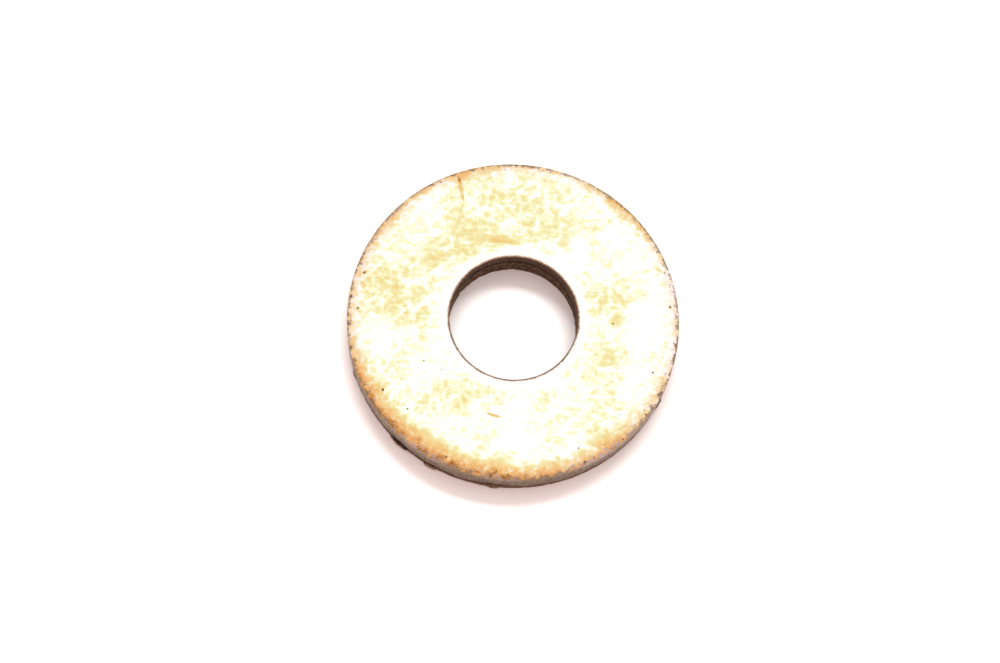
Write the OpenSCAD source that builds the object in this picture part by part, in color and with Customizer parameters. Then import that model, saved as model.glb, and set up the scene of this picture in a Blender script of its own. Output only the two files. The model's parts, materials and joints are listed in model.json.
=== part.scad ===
// Flat washer: a plain steel ring, blanked and pierced in one press stroke.
// The punch and die leave the same marks on both walls, from the top down:
// a rolled-over rim, a smooth straight land, and a torn band with a slight taper.
// Origin: centre of the bottom bearing face. +Z runs up the bore to the top face.

/* [Washer] */
// Outside diameter of the ring
outer_d = 22; // [17:0.1:60]
// Diameter of the bore at its straight land
bore_d = 8.5; // [3:0.1:11]
// Thickness of the plate
thickness = 2.6; // [2:0.1:6]

/* [Outer wall] */
// Width of the rolled-over rim, measured across the top face
outer_roll_w = 1.4; // [0.6:0.05:2]
// Depth of the rolled-over rim, measured down the wall
outer_roll_h = 0.35; // [0.1:0.05:0.6]
// Height of the torn band above the bottom face
outer_tear_h = 0.7; // [0.2:0.05:1.2]
// How far the torn band draws in at the bottom face
outer_tear_in = 0.05; // [0.02:0.01:0.2]

/* [Bore wall] */
// Width of the bore's rolled-over rim, measured across the top face
bore_roll_w = 0.3; // [0.3:0.05:0.8]
// Depth of the bore's rolled-over rim, measured down the wall
bore_roll_h = 0.12; // [0.05:0.01:0.3]
// Height of the torn band above the bottom face
bore_tear_h = 1.3; // [0.2:0.05:1.6]
// How far the torn band opens out at the bottom face
bore_tear_out = 0.02; // [0.02:0.01:0.2]

/* [Hidden] */
// The node to draw
outer_r = outer_d / 2;
bore_r = bore_d / 2;
// A cut runs this far past the surface that it opens
past = 1;
$fn = 180;

// Radius of the arc that leaves the top face smoothly and is roll_h lower roll_w further on
function roll_radius(roll_w, roll_h) = (roll_w * roll_w + roll_h * roll_h) / (2 * roll_h);

// What a rolled-over rim takes off a square corner.
// The corner is at the origin, with the metal to the left of it and below it.
module roll_cut(roll_w, roll_h) {
  arc_r = roll_radius(roll_w, roll_h);
  difference() {
    translate([-roll_w, -roll_h]) square([roll_w + past, roll_h + past]);
    translate([-roll_w, -arc_r]) circle(r = arc_r);
  }
}

// What the torn band takes off a wall that stands at x = 0, with the metal to the left of it
module tear_cut(tear_h, tear_in) {
  slope = tear_in / tear_h;
  polygon([
    [0, tear_h],
    [-tear_in - slope * past, -past],
    [past, -past],
    [past, tear_h]
  ]);
}

// What the press takes off one edge of the plate's section
module edge_cut(roll_w, roll_h, tear_h, tear_in) {
  translate([0, thickness]) roll_cut(roll_w, roll_h);
  tear_cut(tear_h, tear_in);
}

// The ring's section, to the right of the axis
module section() {
  difference() {
    translate([bore_r, 0]) square([outer_r - bore_r, thickness]);
    translate([outer_r, 0]) edge_cut(outer_roll_w, outer_roll_h, outer_tear_h, outer_tear_in);
    translate([bore_r, 0]) mirror([1, 0]) edge_cut(bore_roll_w, bore_roll_h, bore_tear_h, bore_tear_out);
  }
}

module washer() {
  color("#E9DDA6") rotate_extrude() section();
}

washer();
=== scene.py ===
# %% [markdown]
# # A stamped steel washer
# A plain washer is a ring cut from steel plate in one press stroke. The press leaves three bands on
# each wall, and the plating on top of them is thick in one place and rubbed through in another.
# A perfect ring from two cylinders would have the right size and none of that character, so this
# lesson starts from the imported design, draws the washer's real section, spins it, and then works
# the surface the way a sculptor would, point by point, from a few measured facts.

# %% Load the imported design
import json
import math

import bmesh
import bpy
from mathutils import Matrix, Vector, noise


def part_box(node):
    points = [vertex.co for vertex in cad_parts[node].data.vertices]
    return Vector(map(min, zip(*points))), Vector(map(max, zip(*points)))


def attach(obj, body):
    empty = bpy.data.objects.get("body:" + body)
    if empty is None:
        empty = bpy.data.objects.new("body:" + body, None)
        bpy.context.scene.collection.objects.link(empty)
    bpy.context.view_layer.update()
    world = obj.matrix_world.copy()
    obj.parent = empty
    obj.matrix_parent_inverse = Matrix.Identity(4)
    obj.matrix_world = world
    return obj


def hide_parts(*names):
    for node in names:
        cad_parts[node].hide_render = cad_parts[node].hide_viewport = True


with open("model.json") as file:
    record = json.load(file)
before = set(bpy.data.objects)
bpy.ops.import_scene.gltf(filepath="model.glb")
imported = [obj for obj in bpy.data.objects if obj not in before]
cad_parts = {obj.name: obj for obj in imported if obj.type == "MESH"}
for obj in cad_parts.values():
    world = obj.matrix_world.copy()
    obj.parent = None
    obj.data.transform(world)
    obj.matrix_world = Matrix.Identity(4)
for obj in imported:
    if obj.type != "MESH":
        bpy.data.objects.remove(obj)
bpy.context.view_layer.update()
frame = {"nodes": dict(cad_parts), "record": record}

print("nodes in the design:", sorted(frame["nodes"]))

# %% [markdown]
# ## Sizes
# Blender works in metres and a washer is described in millimetres, so one constant turns the
# numbers below into metres. The outside radius and the thickness are read off the design's box,
# and the bore's radius off its mount, so the looks can't drift away from the design.

# %% Read the driving sizes
MM = 0.001
lowest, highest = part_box("washer")
OUTER_R = highest.x
THICKNESS = highest.z
bore_mount = next(m for m in frame["record"]["mounts"] if m["name"] == "bore")
BORE_R = bore_mount["dims"]["r_mm"] * MM

OUTER_ROLL_W = 1.4 * MM      # the rolled-over rim, across the top face
OUTER_ROLL_H = 0.35 * MM     # and down the wall
OUTER_TEAR_H = 0.7 * MM      # height of the torn band on the outer wall
OUTER_TEAR_IN = 0.05 * MM    # how far it draws in at the bottom
BORE_ROLL_W = 0.3 * MM
BORE_ROLL_H = 0.12 * MM
BORE_TEAR_H = 1.3 * MM
BORE_TEAR_OUT = 0.02 * MM
print(f"radius {OUTER_R / MM:.2f} mm, bore {BORE_R / MM:.2f} mm, thickness {THICKNESS / MM:.2f} mm")

# %% [markdown]
# ## Camera
# A small part looks best through a long lens from well above, so that its ring reads as almost
# round while the near wall and the far side of the bore still show. The camera is placed by four
# plain facts: its height above the table in degrees, a slight sideways tilt, its distance, and how
# far the part sits from the middle of the view.

# %% Place the camera
CAMERA_ELEVATION = math.radians(71.8)
CAMERA_ROLL = math.radians(8.2)
CAMERA_DISTANCE = 186 * MM
RIGHT_OF_MIDDLE = 0.79 * MM
ABOVE_MIDDLE = 0.11 * MM

camera_data = bpy.data.cameras.new("macro_camera")
camera_data.sensor_width = 36
camera_data.lens = 100
camera_data.clip_start = 5 * MM
camera_data.clip_end = 5
camera = bpy.data.objects.new("macro_camera", camera_data)
bpy.context.scene.collection.objects.link(camera)
bpy.context.scene.camera = camera

look_down = Matrix.Rotation(math.pi / 2 - CAMERA_ELEVATION, 4, "X")
camera.matrix_world = (
    look_down
    @ Matrix.Rotation(CAMERA_ROLL, 4, "Z")
    @ Matrix.Translation((-RIGHT_OF_MIDDLE, -ABOVE_MIDDLE, CAMERA_DISTANCE))
)
print("camera stands at", [round(c / MM, 1) for c in camera.matrix_world.translation], "mm")

# %% [markdown]
# ## Table
# The floor is a plain pale board, and a flat disc is all it takes. Three helpers come first,
# because every step after this one uses them. Colours are chosen as hex values, which are made for
# screens, while a shader wants linear light, so one function turns the first into the second.

# %% Helpers for colours, nodes and meshes
def to_linear(hex_colour):
    """Linear red, green, blue and alpha of an sRGB colour written as hex."""
    channels = [int(hex_colour[i:i + 2], 16) / 255 for i in (1, 3, 5)]
    return [c / 12.92 if c <= 0.04045 else ((c + 0.055) / 1.055) ** 2.4 for c in channels] + [1]


def add(tree, kind, inputs=(), **settings):
    """Adds a node: its settings by name, and its inputs by index or name, as values or links."""
    node = tree.nodes.new(kind)
    for name, value in settings.items():
        setattr(node, name, value)
    for socket, value in dict(inputs).items():
        if isinstance(value, bpy.types.NodeSocket):
            tree.links.new(value, node.inputs[socket])
        else:
            node.inputs[socket].default_value = value
    return node


def link_new_object(name, mesh_builder, material):
    """Turns a bmesh into a smooth-shaded mesh object in the scene."""
    mesh = bpy.data.meshes.new(name)
    mesh_builder.to_mesh(mesh)
    mesh_builder.free()
    mesh.shade_smooth()
    mesh.materials.append(material)
    obj = bpy.data.objects.new(name, mesh)
    bpy.context.scene.collection.objects.link(obj)
    return obj


print(f"mid grey #808080 is {to_linear('#808080')[0]:.3f} in linear light")

# %% Lay the floor
FLOOR_R = 1.5
FLOOR_GAP = 0.01 * MM        # keeps the floor off the washer's own bottom face

# painted board is matt: it takes a soft shadow and mirrors next to nothing
board = bpy.data.materials.new("white_painted_board")
board.use_nodes = True
board_shader = board.node_tree.nodes["Principled BSDF"]
board_shader.inputs["Base Color"].default_value = to_linear("#EFEDED")
board_shader.inputs["Roughness"].default_value = 0.6
board_shader.inputs["Specular IOR Level"].default_value = 0.2

floor_builder = bmesh.new()
bmesh.ops.create_circle(floor_builder, cap_ends=True, radius=FLOOR_R, segments=64)
bmesh.ops.translate(floor_builder, verts=floor_builder.verts, vec=(0, 0, -FLOOR_GAP))
floor = link_new_object("floor", floor_builder, board)
print(f"floor {2 * FLOOR_R:.0f} m across")

# %% [markdown]
# ## Light
# Plated metal shows whatever it reflects, so small parts are lit inside a tent of white cloth.
# One lamp above and behind it casts the soft shadow, and the cloth glows brightest, and a little
# cooler, where the lamp shines on it. The face of the washer mirrors that bright patch, and
# its rim and walls mirror the duller, warmer cloth lower down. The tent is the world here: a
# colour that changes with direction costs nothing to render and has no seams.

# %% Hang the softbox
KEY_AZIMUTH = math.radians(88)
KEY_ELEVATION = math.radians(61)
KEY_DISTANCE = 0.6
KEY_WIDE = 0.34
KEY_HIGH = 0.11
KEY_ON_FLOOR = 0.7           # radiance that the softbox adds to a white floor

key_data = bpy.data.lights.new("softbox", "AREA")
key_data.shape = "RECTANGLE"
key_data.size = KEY_WIDE
key_data.size_y = KEY_HIGH
key_data.energy = KEY_ON_FLOOR * math.pi ** 2 * KEY_DISTANCE ** 2 / math.sin(KEY_ELEVATION)
key = bpy.data.objects.new("softbox", key_data)
bpy.context.scene.collection.objects.link(key)
key_direction = Vector((
    math.cos(KEY_ELEVATION) * math.cos(KEY_AZIMUTH),
    math.cos(KEY_ELEVATION) * math.sin(KEY_AZIMUTH),
    math.sin(KEY_ELEVATION),
))
key.location = key_direction * KEY_DISTANCE
key.rotation_euler = (math.pi / 2 - KEY_ELEVATION, 0, KEY_AZIMUTH + math.pi / 2)
key.visible_glossy = False   # the tent below is what the metal reflects
print(f"softbox power {key_data.energy:.2f} W")

# %% Put the light tent round it
TENT_RADIANCE = 1.29
TENT_TOP_RADIANCE = 1.62
TENT_TOP_DIRECTION = (0.05, 0.33, 0.94)
TENT_TOP_FULL = math.radians(12)     # the lit patch is even this far from its middle
TENT_TOP_ENDS = math.radians(48)     # and has faded out this far from it


def glowing(hex_colour, radiance):
    """A colour times a radiance, which may make it brighter than white."""
    return [radiance * channel for channel in to_linear(hex_colour)[:3]] + [1]


tent = bpy.data.worlds.new("light_tent")
bpy.context.scene.world = tent
tent.use_nodes = True
sky = tent.node_tree
sideways = add(sky, "ShaderNodeTexCoord").outputs["Generated"]
towards_top = add(
    sky, "ShaderNodeVectorMath", {0: sideways, 1: TENT_TOP_DIRECTION}, operation="DOT_PRODUCT"
).outputs["Value"]
top_glow = add(
    sky, "ShaderNodeMapRange",
    {"Value": towards_top, "From Min": math.cos(TENT_TOP_ENDS), "From Max": math.cos(TENT_TOP_FULL)},
    interpolation_type="SMOOTHSTEP",
).outputs["Result"]
cloth = glowing("#FFE0DC", TENT_RADIANCE)
lit_cloth = glowing("#E8F4EB", TENT_TOP_RADIANCE)
glow = add(sky, "ShaderNodeMix", {0: top_glow, 6: cloth, 7: lit_cloth}, data_type="RGBA").outputs[2]
seen_directly = add(sky, "ShaderNodeLightPath").outputs["Is Camera Ray"]
backdrop = add(
    sky, "ShaderNodeMix", {0: seen_directly, 6: glow, 7: to_linear("#FFFDFC")}, data_type="RGBA"
).outputs[2]
sky.links.new(backdrop, sky.nodes["Background"].inputs["Color"])
bpy.context.scene.view_settings.view_transform = "Standard"
print(f"the tent glows at {TENT_RADIANCE}, and at {TENT_TOP_RADIANCE} where it is lit")

# %% [markdown]
# ## The section
# Cut the ring across and the cut face shows how it was made. The die first drags the rim down, so
# the top corners are rolled over; then the punch shears a smooth, straight land; then the rest of
# the plate tears away and leaves a rough band that slopes into the metal. Each of these is one or
# two points of an outline. Only the roll needs a curve: an arc that leaves the top face smoothly and
# meets the wall at a crease, so its radius follows from its width and depth.

# %% Draw the section
ROLL_STEPS = 9


def roll_arc(wall_x, into_metal, width, depth):
    """Points of a rolled-over rim, from the top face to the wall. into_metal is 1 or -1."""
    arc_r = (width ** 2 + depth ** 2) / (2 * depth)
    sweep = math.asin(width / arc_r)
    turns = [sweep * step / ROLL_STEPS for step in range(ROLL_STEPS + 1)]
    start_x = wall_x + into_metal * width
    return [
        (start_x - into_metal * arc_r * math.sin(turn), THICKNESS - arc_r * (1 - math.cos(turn)))
        for turn in turns
    ]


outline = [
    (BORE_R + BORE_TEAR_OUT, 0),
    (BORE_R, BORE_TEAR_H),
    *reversed(roll_arc(BORE_R, 1, BORE_ROLL_W, BORE_ROLL_H)),
    *roll_arc(OUTER_R, -1, OUTER_ROLL_W, OUTER_ROLL_H),
    (OUTER_R, OUTER_TEAR_H),
    (OUTER_R - OUTER_TEAR_IN, 0),
]
ring = bmesh.new()
corners = [ring.verts.new((x, 0, z)) for x, z in outline]
for start, end in zip(corners, corners[1:] + corners[:1]):
    ring.edges.new((start, end))
print("section drawn with", len(corners), "points")

# %% [markdown]
# ## Spinning the ring
# The walls will carry tears a tenth of a millimetre across and the faces only shallow dents, so
# the outline's straight stretches are cut finely on the walls and coarsely on the faces. The
# spin then turns it into a closed ring, merging the last copy with the first.

# %% Cut the stretches and spin the ring
WALL_GAP = 0.085 * MM
TOP_GAP = 0.17 * MM
BOTTOM_GAP = 0.4 * MM
SPOKES = 620
MERGE_GAP = 0.001 * MM


def point_gap(edge):
    """How far apart the points on this stretch of the outline should be."""
    along = edge.verts[1].co - edge.verts[0].co
    middle = (edge.verts[0].co + edge.verts[1].co) / 2
    if abs(along.z) > abs(along.x):
        return WALL_GAP
    return BOTTOM_GAP if middle.z < THICKNESS / 2 else TOP_GAP


for edge in list(ring.edges):
    cuts = round(edge.calc_length() / point_gap(edge)) - 1
    if cuts > 0:
        bmesh.ops.subdivide_edges(ring, edges=[edge], cuts=cuts)
bmesh.ops.spin(
    ring, geom=ring.verts[:] + ring.edges[:], cent=(0, 0, 0), axis=(0, 0, 1),
    angle=2 * math.pi, steps=SPOKES, use_merge=True,
)
bmesh.ops.remove_doubles(ring, verts=ring.verts, dist=MERGE_GAP)
bmesh.ops.recalc_face_normals(ring, faces=ring.faces)
print(f"ring: {len(ring.faces)} faces, {ring.calc_volume() / MM ** 3:.1f} cubic mm of steel")

# %% [markdown]
# ## Gouges need finer mesh
# One deep gouge runs in from the rim, and a short one sits on the near side. A gouge a quarter of
# a millimetre wide would fall between the points of the face, so the edges near it are subdivided
# first. That adds detail where it is needed and nowhere else.

# %% Refine the face round the gouges
# start and end in mm from the bore's centre, width and depth in mm, and how much film pooled in it
GOUGES = [
    ((-5.05, 9.45), (-4.40, 7.55), 0.30, 0.035, 0.6),
    ((-0.85, -6.76), (0.30, -6.95), 0.20, 0.030, 1.0),
]
REFINED_WITHIN = 0.3         # mm from the line of a gouge


def along_and_across(point, start, end):
    """How far along a line a point lies, from 0 to 1, and its distance from the line in mm."""
    start, end = Vector(start), Vector(end)
    flat = Vector((point.x, point.y)) / MM
    along = (flat - start).dot(end - start) / (end - start).length_squared
    nearest = start + (end - start) * min(max(along, 0), 1)
    return along, (flat - nearest).length


def near_gouge(edge):
    """True for an edge of the top face that lies close to a gouge."""
    middle = (edge.verts[0].co + edge.verts[1].co) / 2
    if middle.z < THICKNESS - OUTER_ROLL_H:
        return False
    return any(along_and_across(middle, start, end)[1] < REFINED_WITHIN for start, end, *_ in GOUGES)


close_edges = [edge for edge in ring.edges if near_gouge(edge)]
bmesh.ops.subdivide_edges(ring, edges=close_edges, cuts=2, use_grid_fill=True)
print(f"{len(close_edges)} edges refined, {len(ring.faces)} faces now")

# %% [markdown]
# ## Working the surface
# From here on every point is moved by what happened at that place: the roll sags unevenly, the
# land carries draw marks, the torn band is ragged, burrs hang from its foot. `noise.noise` is a
# smooth random field that is the same on every run. Dividing the place by a size in metres sets
# how large its lumps are, and a seed picks another stretch of the field, so that no two effects
# share their lumps.

# %% Helpers for working the surface
def lumps(place, size, seed=0.0):
    """Smooth noise from about -1 to 1, with lumps about `size` mm across."""
    return noise.noise(place / (size * MM) + Vector((seed, -seed, 2 * seed)))


def ease(low, high, value):
    """0 below low, 1 above high, and a smooth step in between."""
    share = min(max((value - low) / (high - low), 0), 1)
    return share * share * (3 - 2 * share)


def nearness(azimuth, centre, spread):
    """1 at the centre direction, falling away to 0 over the spread, all in degrees."""
    turn = (azimuth - centre + 180) % 360 - 180
    return math.exp(-(turn / spread) ** 2)


def strongest(azimuth, rows):
    """The largest amount at this direction, from rows of centre, spread and amount."""
    return max(amount * nearness(azimuth, centre, spread) for centre, spread, amount in rows)


print(f"ease is {ease(0, 1, 0.5)} half way up, nearness {nearness(10, 0, 10):.2f} one spread away")

# %% [markdown]
# ### Tears, draw marks and relief
# The land ends at a ragged line, made of long waves with short ones on top. On the land the die
# drags fine upright lines, and squashing the height before reading the noise draws its lumps out
# into just such lines. The torn steel below is rough at two sizes at once, as facets with grit.

# %% Shapes of the torn band and the land
def tear_border(place, tear_h, raggedness, seed):
    """Height of the ragged line where the smooth land ends and the tear begins."""
    wander = 0.7 * lumps(place, 1.6, seed) + 0.45 * lumps(place, 0.45, seed + 3)
    return tear_h + raggedness * wander


def draw_marks(place):
    """Fine upright lines that the die drags down the land."""
    squashed = Vector((place.x, place.y, place.z * 0.06))
    return lumps(squashed, 0.22, 5) * 0.6 + lumps(squashed, 0.1, 9) * 0.4


def torn_relief(place, seed):
    """Rough relief of torn steel: flat facets with fine grit on them."""
    stretched = Vector((place.x, place.y, place.z * 0.7))
    return lumps(stretched, 0.42, seed) * 0.55 + lumps(stretched, 0.17, seed + 2) * 0.45


on_land = Vector((OUTER_R, 0, THICKNESS / 2))
print(f"the draw marks at +X, half way up the wall: {draw_marks(on_land):.2f}")

# %% [markdown]
# ### Burrs, open tears and chips
# Where the tear ran crooked, a flake of steel stays on as a burr and hangs out at the foot of the
# wall. Each is placed by its direction from the bore's centre, its length along the wall, the
# height of its middle and how far it stands out. In a few places the tear also stands open as a
# crack under the land, painted near black as painted shade. The ones at the back are smaller.

# %% Burrs on the outer wall and chips in the bore
# degrees from +X, half length in mm, height of the middle in mm, how far out in mm
BURRS = [
    (-125.0, 0.74, 0.40, 0.22),
    (-112.0, 0.55, 0.33, 0.17),
    (-89.0, 0.50, 0.28, 0.15),
    (-154.0, 0.35, 0.60, 0.09),
    (-20.0, 0.45, 0.30, 0.08),
    (38.0, 0.60, 0.35, 0.12),
    (97.0, 0.40, 0.30, 0.10),
    (171.0, 0.45, 0.35, 0.11),
]
BURR_HALF_HEIGHT = 0.32
# the same four facts for places where the bore's torn wall is chipped away
BORE_CHIPS = [
    (151.0, 0.16, 0.12, 0.12),
    (8.0, 0.25, 0.45, 0.14),
    (97.0, 0.20, 0.06, 0.03),
    (-60.0, 0.30, 0.12, 0.08),
    (-140.0, 0.22, 0.10, 0.08),
]
CHIP_HALF_HEIGHT = 0.25
# degrees from +X, spread in degrees, and how far the tear stands open there, from 0 to 1
OPEN_TEARS = [
    (-125, 15, 1.0),
    (-108, 6, 0.9),
    (-90, 7, 1.0),
    (-15, 9, 0.5),
    (42, 13, 0.6),
    (103, 8, 0.5),
    (168, 12, 0.7),
]


def blob(place, wall_r, blobs, half_height):
    """The tallest of some ragged blobs at this place on a wall, in metres."""
    azimuth = math.degrees(math.atan2(place.y, place.x))
    tallest = 0
    for centre, half_length, height, out in blobs:
        turn = (azimuth - centre + 180) % 360 - 180
        run = math.radians(turn) * wall_r / MM / half_length
        rise = (place.z / MM - height) / half_height
        left = 1 - run * run - rise * rise + 0.45 * lumps(place, 0.3, 19)    # a ragged outline
        if left > 0:
            tallest = max(tallest, out * MM * min(left, 1) ** 0.6)    # steep sides and a flat top
    return tallest


print(f"{len(BURRS)} burrs, {len(OPEN_TEARS)} open tears and {len(BORE_CHIPS)} chips in the bore")

# %% [markdown]
# ### Numbers painted on the points
# A bmesh can carry extra numbers on every point, and a material reads them back by name. They are
# the link between the shape and the finish: the painted shade of a crack or the colour of a burr
# sits exactly where the crack or the burr is. Five are filled while the points are moved: how torn
# a place is, with the painted shade of its crack on top, whether it is a burr, how much film pooled
# in a gouge, how far down the wall it lies and how far into the bore. The film and the scuffs with
# their painted glints are painted afterwards.

# %% Layers for the painted numbers
torn_and_crack_shade_paint = ring.verts.layers.float.new("torn")
burr_paint = ring.verts.layers.float.new("burr")
gouge_paint = ring.verts.layers.float.new("gouge")
film_paint = ring.verts.layers.float.new("film")
scuff_and_glint_paint = ring.verts.layers.float.new("scuffed_and_glinting")
wall_paint = ring.verts.layers.float.new("down_wall")    # mm below the top face
bore_paint = ring.verts.layers.float.new("down_bore")    # mm from the top face, over the rim
print("painted numbers:", ", ".join(ring.verts.layers.float.keys()))

# %% [markdown]
# ### The outer wall
# A point on the outer wall first finds out how torn it is and whether a crack runs through it. The
# land then gets its draw marks, the torn steel its relief, a burr pushes the point out and a crack
# pulls it in. An open tear lifts the border a little and makes its crack taller and deeper. The
# crack is also added to the torn number, and the material paints it near black as painted shade.

# %% Work the outer wall
BORDER_BLUR = 0.06 * MM      # the land turns into the tear over twice this height
OUTER_RAGGED = 0.24 * MM     # how far the border strays up and down
OPEN_LIFT = 0.10 * MM        # how far an open tear lifts it
LAND_RELIEF = 0.006 * MM     # height of the draw marks
TORN_RELIEF = 0.035 * MM
TORN_SINK = 0.012 * MM       # torn steel lies a little behind the land
CRACK_HALF = 0.11 * MM       # half the height of the crack under the border
CRACK_HALF_MORE = 0.06 * MM  # and what an open tear adds to it
CRACK_DEPTH = 0.04 * MM
CRACK_DEPTH_MORE = 0.15 * MM
CLOSED_CRACK = 0.25          # share of the crack that is left where the tear is closed
# the crack's near-black colour is painted shade; these set how much of it the crack adds to the torn
# number
CRACK_SHADE_PAINT = 0.4            # what the crack adds to the torn paint
CRACK_SHADE_PAINT_MORE = 1.6
BURR_LUMPINESS = 0.50
FULL_BURR = 0.08 * MM        # a burr that stands out this far is painted fully


def work_outer_wall(vert, place, azimuth, outward):
    """Moves one point of the outer wall and paints how torn and how burred it is, with the crack's
    painted shade.
    """
    opening = strongest(azimuth, OPEN_TEARS)
    opening *= 0.8 + 0.8 * lumps(place, 0.9, 17)    # it gapes here and nearly shuts there
    border = tear_border(place, OUTER_TEAR_H + OPEN_LIFT * opening, OUTER_RAGGED, 1)
    torn = 1 - ease(-BORDER_BLUR, BORDER_BLUR, place.z - border)
    crack_half = CRACK_HALF + CRACK_HALF_MORE * opening
    crack = max(0, 1 - ((place.z - border + 0.2 * crack_half) / crack_half) ** 2)
    crack *= CLOSED_CRACK + (1 - CLOSED_CRACK) * min(opening, 1)
    crack_depth = CRACK_DEPTH + CRACK_DEPTH_MORE * opening
    burr = blob(place, OUTER_R, BURRS, BURR_HALF_HEIGHT)
    shove = LAND_RELIEF * draw_marks(place) * (1 - torn)
    shove += torn * (TORN_RELIEF * torn_relief(place, 2) - TORN_SINK)
    shove += burr * (1 + BURR_LUMPINESS * lumps(place, 0.25, 7)) - crack * crack_depth
    vert.co += outward * shove
    vert[torn_and_crack_shade_paint] = torn + crack * (CRACK_SHADE_PAINT + CRACK_SHADE_PAINT_MORE * opening)
    vert[burr_paint] = min(burr / FULL_BURR, 1)


print(f"an open tear is {(CRACK_DEPTH + CRACK_DEPTH_MORE) / MM:.2f} mm deep")

# %% [markdown]
# ### The wall of the bore
# The bore went through the same stroke, with one difference: the punch met the plate a hair out of
# square, so the land is taller on one side than on the other. A cosine of the direction tilts the
# border by just that.

# %% Work the wall of the bore
PUNCH_LEANS_TO = 140         # degrees from +X
PUNCH_LEAN = 0.28 * MM       # how far the border rises on that side
BORE_RAGGED = 0.34 * MM
BORE_LIFT = 0.12 * MM        # the ragged border lies this much above the design's plain one
BORE_LAND_RELIEF = 0.005 * MM
BORE_TORN_RELIEF = 0.04 * MM
BORE_CRACK_HALF = 0.14 * MM
BORE_CRACK_BELOW = 0.06 * MM
BORE_CRACK_DEPTH = 0.05 * MM


def work_bore(vert, place, azimuth, outward):
    """Moves one point of the bore's wall and paints how torn it is, with its crack's painted shade."""
    lean = PUNCH_LEAN * math.cos(math.radians(azimuth - PUNCH_LEANS_TO))
    border = tear_border(place, BORE_TEAR_H + BORE_LIFT + lean, BORE_RAGGED, 11)
    torn = 1 - ease(-BORDER_BLUR, BORDER_BLUR, place.z - border)
    crack = max(0, 1 - ((place.z - border + BORE_CRACK_BELOW) / BORE_CRACK_HALF) ** 2)
    shove = BORE_LAND_RELIEF * draw_marks(place) * (1 - torn)
    shove += torn * BORE_TORN_RELIEF * torn_relief(place, 13) + crack * BORE_CRACK_DEPTH
    shove += blob(place, BORE_R, BORE_CHIPS, CHIP_HALF_HEIGHT)
    vert.co += outward * shove
    vert[torn_and_crack_shade_paint] = torn + crack


print(f"the bore's land is {2 * PUNCH_LEAN / MM:.2f} mm taller on one side than on the other")

# %% [markdown]
# ### The top face
# The face is never quite flat: it waves by a hundredth of a millimetre, and the rolled rim sags by
# more. A gouge is a groove that swells and tapers along its line, with a low lip of pushed-up
# metal on both sides.

# %% Work the top face
FACE_WAVE = 0.012 * MM
RIM_WAVE = 0.05 * MM
RIM_RIPPLE = 0.016 * MM
LIP_HEIGHT = 0.15            # share of the groove's depth
GROOVE_FILL = 1.8            # above 1, the pooled film is even across the middle of the groove


def gouge_profile(place, start, end, width):
    """How deep in the groove a point lies and how high on its lip, both from 0 to 1."""
    along, across = along_and_across(place, start, end)
    swell = math.sin(math.pi * min(max(along, 0), 1) ** 0.7)    # widest a third of the way along
    wide = width * (0.25 + 0.75 * swell) / 2
    groove = max(0, 1 - (across / wide) ** 2) * min(swell * 3, 1)
    lip = max(0, 1 - abs(across - wide * 1.25) / (wide * 0.5)) * swell    # just outside the groove
    return groove, lip


def work_top(vert, place, radius):
    """Moves one point of the top face up or down and paints the film that pooled in a gouge."""
    rim = ease(OUTER_R - 1.3 * OUTER_ROLL_W, OUTER_R, radius)
    sag = FACE_WAVE * lumps(place, 3.5, 21)
    sag += rim * (RIM_WAVE * lumps(place, 2.4, 22) + RIM_RIPPLE * lumps(place, 0.5, 23))
    vert.co.z += sag - FACE_WAVE     # so that the face stays under the washer's full thickness
    for start, end, width, gouge_depth, pooled in GOUGES:
        groove, lip = gouge_profile(place, start, end, width)
        vert.co.z += MM * gouge_depth * (LIP_HEIGHT * lip - groove)
        vert[gouge_paint] = max(vert[gouge_paint], pooled * min(GROOVE_FILL * groove, 1))


print("gouges", ", ".join(f"{gouge[3]} mm" for gouge in GOUGES), "deep")

# %% [markdown]
# ### Every point in turn
# One loop now sends each point to the function for its region. The places are told apart by the
# radius and by the depth below the top face, each with a little room for rounding.

# %% Move every point of the ring
for vert in ring.verts:
    place = vert.co.copy()
    radius = math.hypot(place.x, place.y)
    azimuth = math.degrees(math.atan2(place.y, place.x))
    outward = Vector((place.x, place.y, 0)) / radius
    depth = THICKNESS - place.z
    if radius > (OUTER_R + BORE_R) / 2:
        vert[wall_paint] = depth / MM
    else:
        vert[bore_paint] = max(BORE_R + BORE_ROLL_W - radius, 0) / MM + depth / MM
    if radius > OUTER_R - 1.5 * OUTER_TEAR_IN and depth > 0.9 * OUTER_ROLL_H:
        work_outer_wall(vert, place, azimuth, outward)
    elif radius < BORE_R + 1.2 * BORE_TEAR_OUT and depth > 0.9 * BORE_ROLL_H:
        work_bore(vert, place, azimuth, outward)
    elif depth < 1.01 * OUTER_ROLL_H:
        work_top(vert, place, radius)
top_z = max(v.co.z for v in ring.verts)
print(f"after working: {ring.calc_volume() / MM ** 3:.1f} cubic mm, top at {top_z / MM:.3f} mm")
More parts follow.
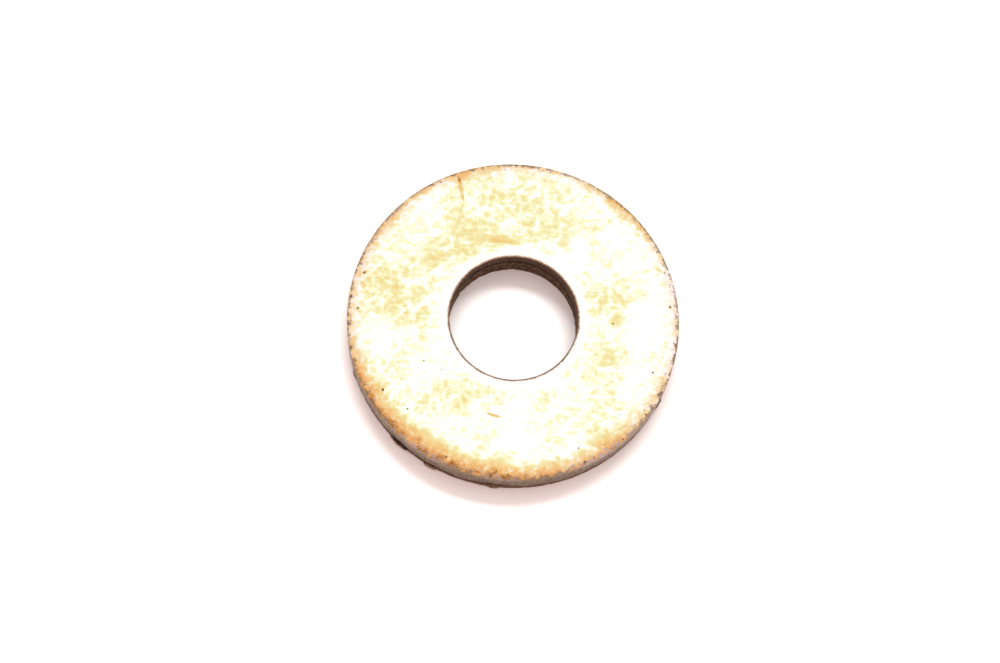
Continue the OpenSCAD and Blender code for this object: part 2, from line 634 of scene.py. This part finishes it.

# %% [markdown]
# ## Painting the film
# Yellow chromate is a thin, coloured skin on the zinc. It is thickest on the rolled rim, where the
# parts drain as they dry, and thinnest round the bore, where a bolt head has rubbed. In between it
# lies in clouds a few millimetres across. The broad clouds are painted on the points here, and the
# fine grain is left to the material.

# %% Tables of the film's patches, bands, and scuffs with painted glints
# centre in mm, half width and half height in mm, and how much thicker or thinner the film is there
PATCHES = [
    ((-3.0, 5.4), (1.7, 1.5), 0.17),
    ((-4.7, 6.7), (1.3, 1.5), 0.14),
    ((-5.2, 3.4), (1.8, 1.3), 0.20),
    ((-1.35, 5.2), (0.9, 0.38), 0.36),
    ((-8.1, 1.2), (1.5, 1.3), 0.18),
    ((-7.4, -0.8), (1.4, 0.9), 0.12),
    ((-0.8, 7.9), (3.0, 1.6), 0.14),
    ((2.6, 6.4), (1.6, 1.6), 0.05),
    ((5.9, 2.1), (1.3, 1.3), 0.14),
    ((6.8, -2.2), (0.9, 1.1), 0.16),
    ((6.8, 1.0), (0.4, 0.35), 0.25),
    ((-3.4, -5.9), (1.6, 1.4), 0.16),
    ((8.7, -0.6), (1.2, 3.2), -0.17),
    ((8.0, 4.0), (1.1, 1.6), -0.10),
    ((3.8, 5.2), (0.7, 1.2), -0.14),
    ((-5.8, -4.6), (1.2, 1.3), -0.11),
    ((-7.7, -2.7), (1.4, 1.1), -0.12),
    ((1.2, -8.2), (3.4, 1.0), -0.11),
]
# direction in degrees, spread in degrees, and how heavily the film built up on the rim there
RIM_BANDS = [
    (-135, 24, 1.02),
    (-110, 20, 1.10),
    (-90, 20, 0.98),
    (-70, 20, 0.94),
    (-48, 20, 0.84),
    (55, 18, 0.60),
    (110, 25, 0.35),
    (145, 18, 0.50),
]
# direction in degrees, spread in degrees, and how much of the crease is rubbed bare there, with
# painted glints on the bare spots
SCUFFS_AND_GLINTS = [
    (-48, 15, 1.0),
    (-118, 12, 0.75),
    (-88, 8, 0.55),
    (22, 14, 0.50),
    (75, 10, 0.45),
    (150, 18, 0.55),
]
print(f"{len(PATCHES)} patches, {len(RIM_BANDS)} bands on the rim, {len(SCUFFS_AND_GLINTS)} scuffs")

# %% [markdown]
# The film is a sum: its usual thickness, clouds of three sizes, the patches, and a band on the rim
# in two steps, gold first and bronze at the very edge. Where more film built up, the band starts
# further in. Noise added to the radius frays the edges of the band and of the rubbed ring.

# %% Paint the broad clouds of the film
USUAL_FILM = 0.21
# size in mm, seed and strength
CLOUDS = [
    (2.8, 31, 0.15),
    (1.1, 32, 0.13),
    (0.45, 33, 0.08),
]
PATCH_STRENGTH = 1.15
# what the rim's band has anywhere, and what full build-up adds: its width, and the film of each step
BAND_WIDTH, BAND_WIDTH_MORE = 0.40 * MM, 1.25 * MM
GOLD, GOLD_MORE = 0.03, 0.45
BRONZE, BRONZE_MORE = 0.06, 0.29
# the radii where the steps are full or start, and between which the rubbed ring fades out
GOLD_FULL = OUTER_R - 0.50 * MM
BRONZE_START = OUTER_R - 0.60 * MM
BRONZE_FULL = OUTER_R - 0.05 * MM
RUBBED_BARE = BORE_R + 0.35 * MM
RUBBED_ENDS = BORE_R + 1.0 * MM
RUBBED_AWAY = 0.85           # share of the film that is gone next to the bore


def patch_sum(place):
    """What all the patches add to the film at this place."""
    total = 0
    for (x, y), (half_w, half_h), extra in PATCHES:
        away = ((place.x / MM - x) / half_w) ** 2 + ((place.y / MM - y) / half_h) ** 2
        total += extra * math.exp(-away)
    return total


def film_thickness(place, radius, azimuth):
    """Thickness of the film from 0, bare zinc, to 1, deep bronze."""
    film = USUAL_FILM + PATCH_STRENGTH * patch_sum(place)
    film += sum(strength * lumps(place, size, seed) for size, seed, strength in CLOUDS)
    frayed = radius + 0.22 * MM * lumps(place, 0.9, 40) + 0.12 * MM * lumps(place, 0.3, 41)
    built_up = strongest(azimuth, RIM_BANDS)
    gold_start = OUTER_R - BAND_WIDTH - BAND_WIDTH_MORE * built_up
    film += (GOLD + GOLD_MORE * built_up) * ease(gold_start, GOLD_FULL, frayed)
    film += (BRONZE + BRONZE_MORE * built_up) * ease(BRONZE_START, BRONZE_FULL, frayed)
    rubbed = 1 - ease(RUBBED_BARE, RUBBED_ENDS, frayed)
    return min(max(film * (1 - RUBBED_AWAY * rubbed), 0), 1)


for vert in ring.verts:
    radius = math.hypot(vert.co.x, vert.co.y)
    azimuth = math.degrees(math.atan2(vert.co.y, vert.co.x))
    vert[film_paint] = film_thickness(vert.co, radius, azimuth)
    vert[scuff_and_glint_paint] = strongest(azimuth, SCUFFS_AND_GLINTS)
print(f"film: {sum(v[film_paint] for v in ring.verts) / len(ring.verts):.2f} on average")

# %% [markdown]
# ## The finish
# The real finish is electroplated zinc under a yellow chromate passivate, dulled by handling, on
# stamped steel that has gone brown where the tear left the plating thin. To the eye that is a
# satin metal, pale where it is rubbed and gold where it isn't, with dull brown dirt on the torn
# steel. One Principled shader carries it all. Masks stack the finishes like coats: film over zinc,
# then the drawn land, the torn band, the grime in the bore. Every size in the table below is a
# real one in millimetres, except that the grain and the grit are really finer, and are drawn at
# 0.13 mm so that they show.

# %% Patterns in the surface
steel = bpy.data.materials.new("yellow_zinc_on_stamped_steel")
steel.use_nodes = True
tree = steel.node_tree
shader = tree.nodes["Principled BSDF"]
where = add(tree, "ShaderNodeTexCoord").outputs["Object"]
paint = {
    name: add(tree, "ShaderNodeAttribute", attribute_name=name).outputs["Fac"]
    for name in ("torn", "burr", "gouge", "film", "scuffed_and_glinting", "down_wall", "down_bore")
}
ROUGHNESS_OF_NOISE = 0.6

# name, size in mm, detail, and how far the pattern is drawn out along X, Y and Z
pattern = {}
for name, size, detail, drawn_out in (
    ("grain", 0.13, 2, (1.4, 1, 1)),
    ("mottle", 0.36, 2, (1.2, 1, 1)),
    ("draw_lines", 0.10, 2, (1, 1, 25)),
    ("grit", 0.13, 4, (1, 1, 1)),
    ("wear", 0.30, 3, (1, 1, 1)),
):
    stretched = add(
        tree, "ShaderNodeMapping", {"Vector": where, "Scale": drawn_out}, vector_type="TEXTURE"
    ).outputs["Vector"]
    pattern[name] = add(
        tree, "ShaderNodeTexNoise",
        {
            "Vector": stretched, "Scale": 1 / (size * MM),
            "Detail": detail, "Roughness": ROUGHNESS_OF_NOISE,
        },
    ).outputs["Fac"]
print("patterns:", ", ".join(pattern))

# %% [markdown]
# The upper part of the bore is streaked, and the grime at its rim ends in short ticks that all
# point at the bore's axis. Flattening the coordinates and making them one unit long leaves only
# the direction from the axis, so a noise read there is the same all the way along each spoke: it
# makes ticks on the rim and upright streaks on the wall.

# %% Ticks on the rim of the bore
TICK = 0.09 * MM
flattened = add(
    tree, "ShaderNodeVectorMath", {0: where, 1: (1, 1, 0)}, operation="MULTIPLY"
).outputs[0]
spoke = add(tree, "ShaderNodeVectorMath", {0: flattened}, operation="NORMALIZE").outputs[0]
pattern["ticks"] = add(
    tree, "ShaderNodeTexNoise",
    {"Vector": spoke, "Scale": BORE_R / TICK, "Detail": 2, "Roughness": ROUGHNESS_OF_NOISE},
).outputs["Fac"]
print(f"about {2 * math.pi * BORE_R / TICK:.0f} ticks round the bore")

# %% [markdown]
# ### Rubbed streaks
# Handling has rubbed the film thin in soft smears and a few fine scrapes. A noise drawn out many
# times along one direction and cut off near its top leaves just such sparse streaks. The scrapes
# also leave a trace in the relief.

# %% Streaks rubbed through the film
# direction in degrees, width in mm, how many times longer than wide, where the noise is cut off,
# and how much film the streak takes away
STREAKS = [
    (4, 0.30, 6, 0.54, 0.74, 0.17),
    (52, 0.45, 5, 0.55, 0.74, 0.18),
    (104, 0.36, 5, 0.57, 0.74, 0.15),
    (18, 0.09, 22, 0.70, 0.78, 0.10),
    (122, 0.08, 20, 0.71, 0.79, 0.08),
]
SCRAPE_DEPTH = 0.3

film = paint["film"]
scrape_height = 0.0
for direction, width, drawn_out, start, end, rubbed in STREAKS:
    turned = add(
        tree, "ShaderNodeMapping",
        {"Vector": where, "Rotation": (0, 0, math.radians(direction)), "Scale": (drawn_out, 1, 1)},
        vector_type="TEXTURE",
    ).outputs["Vector"]
    noise_here = add(
        tree, "ShaderNodeTexNoise", {"Vector": turned, "Scale": 1 / (width * MM), "Detail": 1}
    ).outputs["Fac"]
    streak = add(
        tree, "ShaderNodeMapRange", {"Value": noise_here, "From Min": start, "From Max": end},
        interpolation_type="SMOOTHSTEP",
    ).outputs["Result"]
    film = add(
        tree, "ShaderNodeMath", {0: streak, 1: -rubbed, 2: film}, operation="MULTIPLY_ADD"
    ).outputs[0]
    scrape_height = add(
        tree, "ShaderNodeMath", {0: streak, 1: -SCRAPE_DEPTH, 2: scrape_height},
        operation="MULTIPLY_ADD",
    ).outputs[0]
print(len(STREAKS), "directions of streaks")

# %% [markdown]
# ### The film's grain and colour
# The painted film is smooth, and the real one is mottled at every size down to its grain. On the
# rolled rim it is also worn away in spots, and where it is thick it ran smooth, so the mottle
# fades there. A colour ramp then plays the part of the film's depth: nothing over bright zinc,
# pale yellow where it is thin, gold and brown where it pooled.

# %% Film thickness with its grain
on_roll = add(
    tree, "ShaderNodeMapRange", {"Value": paint["down_wall"], "From Min": 0.04, "From Max": 0.12}
).outputs["Result"]
worn_spot = add(
    tree, "ShaderNodeMapRange", {"Value": pattern["wear"], "From Min": 0.51, "From Max": 0.68},
    interpolation_type="SMOOTHSTEP",
).outputs["Result"]
worn_roll = add(
    tree, "ShaderNodeMath", {0: on_roll, 1: worn_spot}, operation="MULTIPLY"
).outputs[0]

calm = add(
    tree, "ShaderNodeMapRange",
    {"Value": paint["film"], "From Min": 0.45, "From Max": 0.80, "To Min": 1.0, "To Max": 0.5},
).outputs["Result"]
centred = add(
    tree, "ShaderNodeMath", {0: pattern["mottle"], 1: 0.5}, operation="SUBTRACT"
).outputs[0]
calm_mottle = add(tree, "ShaderNodeMath", {0: centred, 1: calm}, operation="MULTIPLY").outputs[0]

# source, weight and average: what a source adds on average is taken off again
for source, weight, average in (
    (pattern["grain"], 0.26, 0.5),
    (calm_mottle, 0.82, 0.0),
    (paint["gouge"], 0.55, 0.0),
    (worn_roll, -0.36, 0.0),
):
    raised = add(
        tree, "ShaderNodeMath", {0: source, 1: weight, 2: film}, operation="MULTIPLY_ADD"
    ).outputs[0]
    film = add(
        tree, "ShaderNodeMath", {0: raised, 1: weight * average}, operation="SUBTRACT"
    ).outputs[0]
print(f"{len(tree.nodes)} nodes so far")

# %% Colours of the film
FILM_COLOURS = [
    (0.10, "#F3F1EE"),   # bare zinc, rubbed bright
    (0.26, "#EBE2C8"),
    (0.40, "#DDD2A4"),   # the usual pale yellow
    (0.56, "#DDC48C"),
    (0.72, "#D9B378"),   # gold on the rim
    (0.87, "#C4995A"),   # old gold where it pooled
    (1.00, "#8F6834"),
]
film_ramp = add(tree, "ShaderNodeValToRGB", {"Fac": film})
stops = film_ramp.color_ramp.elements
for thickness, _ in FILM_COLOURS[2:]:    # a new ramp already has two stops
    stops.new(thickness)
for stop, (thickness, hex_colour) in zip(stops, FILM_COLOURS):
    stop.position = thickness
    stop.color = to_linear(hex_colour)
print(len(stops), "stops from bare zinc to brown")

# %% [markdown]
# ### Masks
# A painted number changes smoothly over the mesh. Adding noise to it before cutting it off sharply
# turns that soft change into the crisp, ragged border of the real surface. Each row names the
# number that is cut, the value at the border, how soft the border is, and the noise that frays it.

# %% Masks for the coats
mask = {}
for name, source, border, softness, fray, fray_by in (
    ("crease", paint["down_wall"], 0.25, 0.08, pattern["wear"], 0.55),
    ("land", paint["down_wall"], 0.31, 0.10, pattern["wear"], 0.60),
    ("lower_land", paint["down_wall"], 0.72, 0.32, pattern["wear"], 1.10),
    # spots of bare zinc that also carry painted glints
    ("bare_and_glint_spots", pattern["wear"], 0.48, 0.13, pattern["grit"], 0.60),
    ("torn_flecks", pattern["grit"], 0.53, 0.10, pattern["wear"], 0.50),
    ("drawn_grey", pattern["draw_lines"], 0.50, 0.14, pattern["wear"], 0.60),
    ("rim_stain", paint["down_bore"], 0.21, 0.11, pattern["wear"], 0.34),
    ("grime_edge", paint["down_bore"], 0.31, 0.15, pattern["ticks"], 0.25),
    ("torn", paint["torn"], 0.50, 0.10, pattern["grit"], 0.50),
    ("burr", paint["burr"], 0.90, 0.20, pattern["wear"], 1.20),
    # the crack mask picks out the painted shade that the crack added to the torn number
    ("crack", paint["torn"], 1.25, 0.12, pattern["grit"], 0.50),
    ("bore_streak", pattern["ticks"], 0.52, 0.10, pattern["wear"], 0.50),
):
    frayed = add(
        tree, "ShaderNodeMath", {0: fray, 1: fray_by, 2: source}, operation="MULTIPLY_ADD"
    ).outputs[0]
    middle = border + fray_by / 2
    mask[name] = add(
        tree, "ShaderNodeMapRange",
        {"Value": frayed, "From Min": middle - softness, "From Max": middle + softness},
        interpolation_type="SMOOTHSTEP",
    ).outputs["Result"]
print("masks:", ", ".join(mask))

# %% [markdown]
# Some marks belong only to one part of the washer. Multiplying two masks keeps what both agree on:
# bare zinc shows in spots along the rubbed crease, between the rolled rim and the lower land, and
# these spots carry painted glints; the land is streaked grey where the die drew it bright, and so
# is the upper part of the bore; and flecks lie only on torn steel.

# %% Masks made of other masks
crease_band = add(
    tree, "ShaderNodeMath", {0: mask["crease"], 1: mask["lower_land"]}, operation="SUBTRACT"
).outputs[0]
crease_scuffs_and_glints = add(
    tree, "ShaderNodeMath", {0: crease_band, 1: paint["scuffed_and_glinting"]}, operation="MULTIPLY"
).outputs[0]
mask["bare_crease_and_glints"] = add(
    tree, "ShaderNodeMath", {0: crease_scuffs_and_glints, 1: mask["bare_and_glint_spots"]},
    operation="MULTIPLY", use_clamp=True,
).outputs[0]
for name, first, second in (
    ("land_streak", "land", "drawn_grey"),
    ("bore_streak", "grime_edge", "bore_streak"),
    ("torn_flecks", "torn", "torn_flecks"),
):
    mask[name] = add(
        tree, "ShaderNodeMath", {0: mask[first], 1: mask[second]}, operation="MULTIPLY"
    ).outputs[0]
print(len(mask), "masks now")

# %% [markdown]
# ### Specks
# Pinholes in the plating have rusted into small brown specks, more of them on the rim, where it is
# knocked. A Voronoi texture scatters one point in each cell; subtracting the distance from a
# random number per cell leaves a dot only in the few cells whose number is high, and dots of
# different sizes. Grit added to the distance makes each dot ragged.

# %% Rust specks
SPECK_CELL = 0.6 * MM
DEEPEST_RIM = 0.3            # mm below the top face; from here down the specks get no denser
MORE_PER_MM = 0.80           # how much the rim raises each cell's number, for each mm down
SPECK_FROM = 0.80            # a cell whose number is lower has no speck
LARGEST_SPECK = 0.19         # radius, in cells
RAGGED_BY = 0.30
SPECK_EDGE = 0.06

cells = add(tree, "ShaderNodeTexVoronoi", {"Vector": where, "Scale": 1 / SPECK_CELL})
chance = add(tree, "ShaderNodeSeparateColor", {0: cells.outputs["Color"]}).outputs[0]
at_rim = add(
    tree, "ShaderNodeMath", {0: paint["down_wall"], 1: DEEPEST_RIM}, operation="MINIMUM"
).outputs[0]
chance = add(
    tree, "ShaderNodeMath", {0: at_rim, 1: MORE_PER_MM, 2: chance}, operation="MULTIPLY_ADD"
).outputs[0]
dot_size = add(
    tree, "ShaderNodeMapRange",
    {"Value": chance, "From Min": SPECK_FROM, "From Max": 1.0, "To Min": 0.0, "To Max": LARGEST_SPECK},
).outputs["Result"]
rough_distance = add(
    tree, "ShaderNodeMath", {0: pattern["grit"], 1: RAGGED_BY, 2: cells.outputs["Distance"]},
    operation="MULTIPLY_ADD",
).outputs[0]
inside_dot = add(
    tree, "ShaderNodeMath", {0: dot_size, 1: rough_distance}, operation="SUBTRACT"
).outputs[0]
# the grit averages a half, so half of what it added is given back
inside_dot = add(
    tree, "ShaderNodeMath", {0: inside_dot, 1: RAGGED_BY / 2}, operation="ADD"
).outputs[0]
mask["speck"] = add(
    tree, "ShaderNodeMapRange", {"Value": inside_dot, "From Min": 0.0, "From Max": SPECK_EDGE}
).outputs["Result"]
print(f"specks up to {2 * LARGEST_SPECK * SPECK_CELL / MM:.2f} mm across")

# %% [markdown]
# ### Coats
# Each coat covers what lies under it wherever its mask is white, in this order: the drawn land and
# its darker foot, bright streaks on it and bare zinc spots that carry painted glints, the specks,
# the brown stain and the grime that runs from the bore's rim down its wall, and last the torn steel
# with its flecks and burrs, and the cracks, painted near black as the shade inside them. Bare metal
# keeps a high metallic value, and dirt, rust and the painted shade a low one with a rough surface.

# %% Stack the coats
FILM_ROUGHNESS = 0.42
# mask, colour, metallic, roughness; torn steel has two colours, mixed below
COATS = [
    ("land", "#7B643D", 0.85, 0.45),
    ("lower_land", "#62513E", 0.80, 0.45),
    ("land_streak", "#80705B", 0.90, 0.40),
    # bare zinc on the crease, pale lilac as a painted glint of the tent
    ("bare_crease_and_glints", "#B9ADA8", 1.00, 0.42),
    ("speck", "#634529", 0.20, 0.75),
    ("rim_stain", "#A88F77", 0.70, 0.55),
    ("grime_edge", "#3E2613", 0.10, 0.85),
    ("bore_streak", "#523A28", 0.40, 0.65),
    ("torn", None, 0.20, 0.85),
    ("torn_flecks", "#6E5138", 0.50, 0.65),
    ("burr", "#75604C", 0.60, 0.55),
    # the crack is painted near black as the shade inside it
    ("crack", "#1F120A", 0.00, 0.90),
]
TORN_OUTSIDE = "#523823"
TORN_IN_BORE = "#38210F"

torn_colour = add(
    tree, "ShaderNodeMix",
    {0: mask["grime_edge"], 6: to_linear(TORN_OUTSIDE), 7: to_linear(TORN_IN_BORE)},
    data_type="RGBA",
).outputs[2]
colour = film_ramp.outputs["Color"]
metallic = 1.0
roughness = FILM_ROUGHNESS
for name, coat_hex, coat_metallic, coat_roughness in COATS:
    coat_mask = mask[name]
    coat_colour = to_linear(coat_hex) if coat_hex else torn_colour
    colour = add(
        tree, "ShaderNodeMix", {0: coat_mask, 6: colour, 7: coat_colour}, data_type="RGBA"
    ).outputs[2]
    metallic = add(
        tree, "ShaderNodeMix", {0: coat_mask, 2: metallic, 3: coat_metallic}
    ).outputs[0]
    roughness = add(
        tree, "ShaderNodeMix", {0: coat_mask, 2: roughness, 3: coat_roughness}
    ).outputs[0]
for socket, value in (("Base Color", colour), ("Metallic", metallic), ("Roughness", roughness)):
    tree.links.new(value, shader.inputs[socket])
shader.inputs["Specular IOR Level"].default_value = 0.25    # dust keeps the dirt from shining
print(len(COATS), "coats over the film")

# %% [markdown]
# ### Fine relief
# The grain and the scrapes are a few thousandths of a millimetre deep, far finer than the mesh, so
# they go into a bump: it tilts the light without moving a point.

# %% Relief too fine for the mesh
RELIEF_DEPTH = 0.007 * MM
height = scrape_height
for source, weight in ((pattern["grain"], 0.6), (pattern["mottle"], 0.6), (pattern["grit"], 0.5)):
    height = add(
        tree, "ShaderNodeMath", {0: source, 1: weight, 2: height}, operation="MULTIPLY_ADD"
    ).outputs[0]
relief = add(tree, "ShaderNodeBump", {"Height": height, "Distance": RELIEF_DEPTH, "Strength": 1.0})
tree.links.new(relief.outputs["Normal"], shader.inputs["Normal"])
print(f"bump {RELIEF_DEPTH / MM:.3f} mm deep")

# %% [markdown]
# ## Handing over
# The worked ring becomes an object and takes the place of the design's plain one. It rides the
# design's only body.

# %% Hand the washer over
washer = link_new_object("washer_body", ring, steel)
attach(washer, "root")
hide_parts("washer")
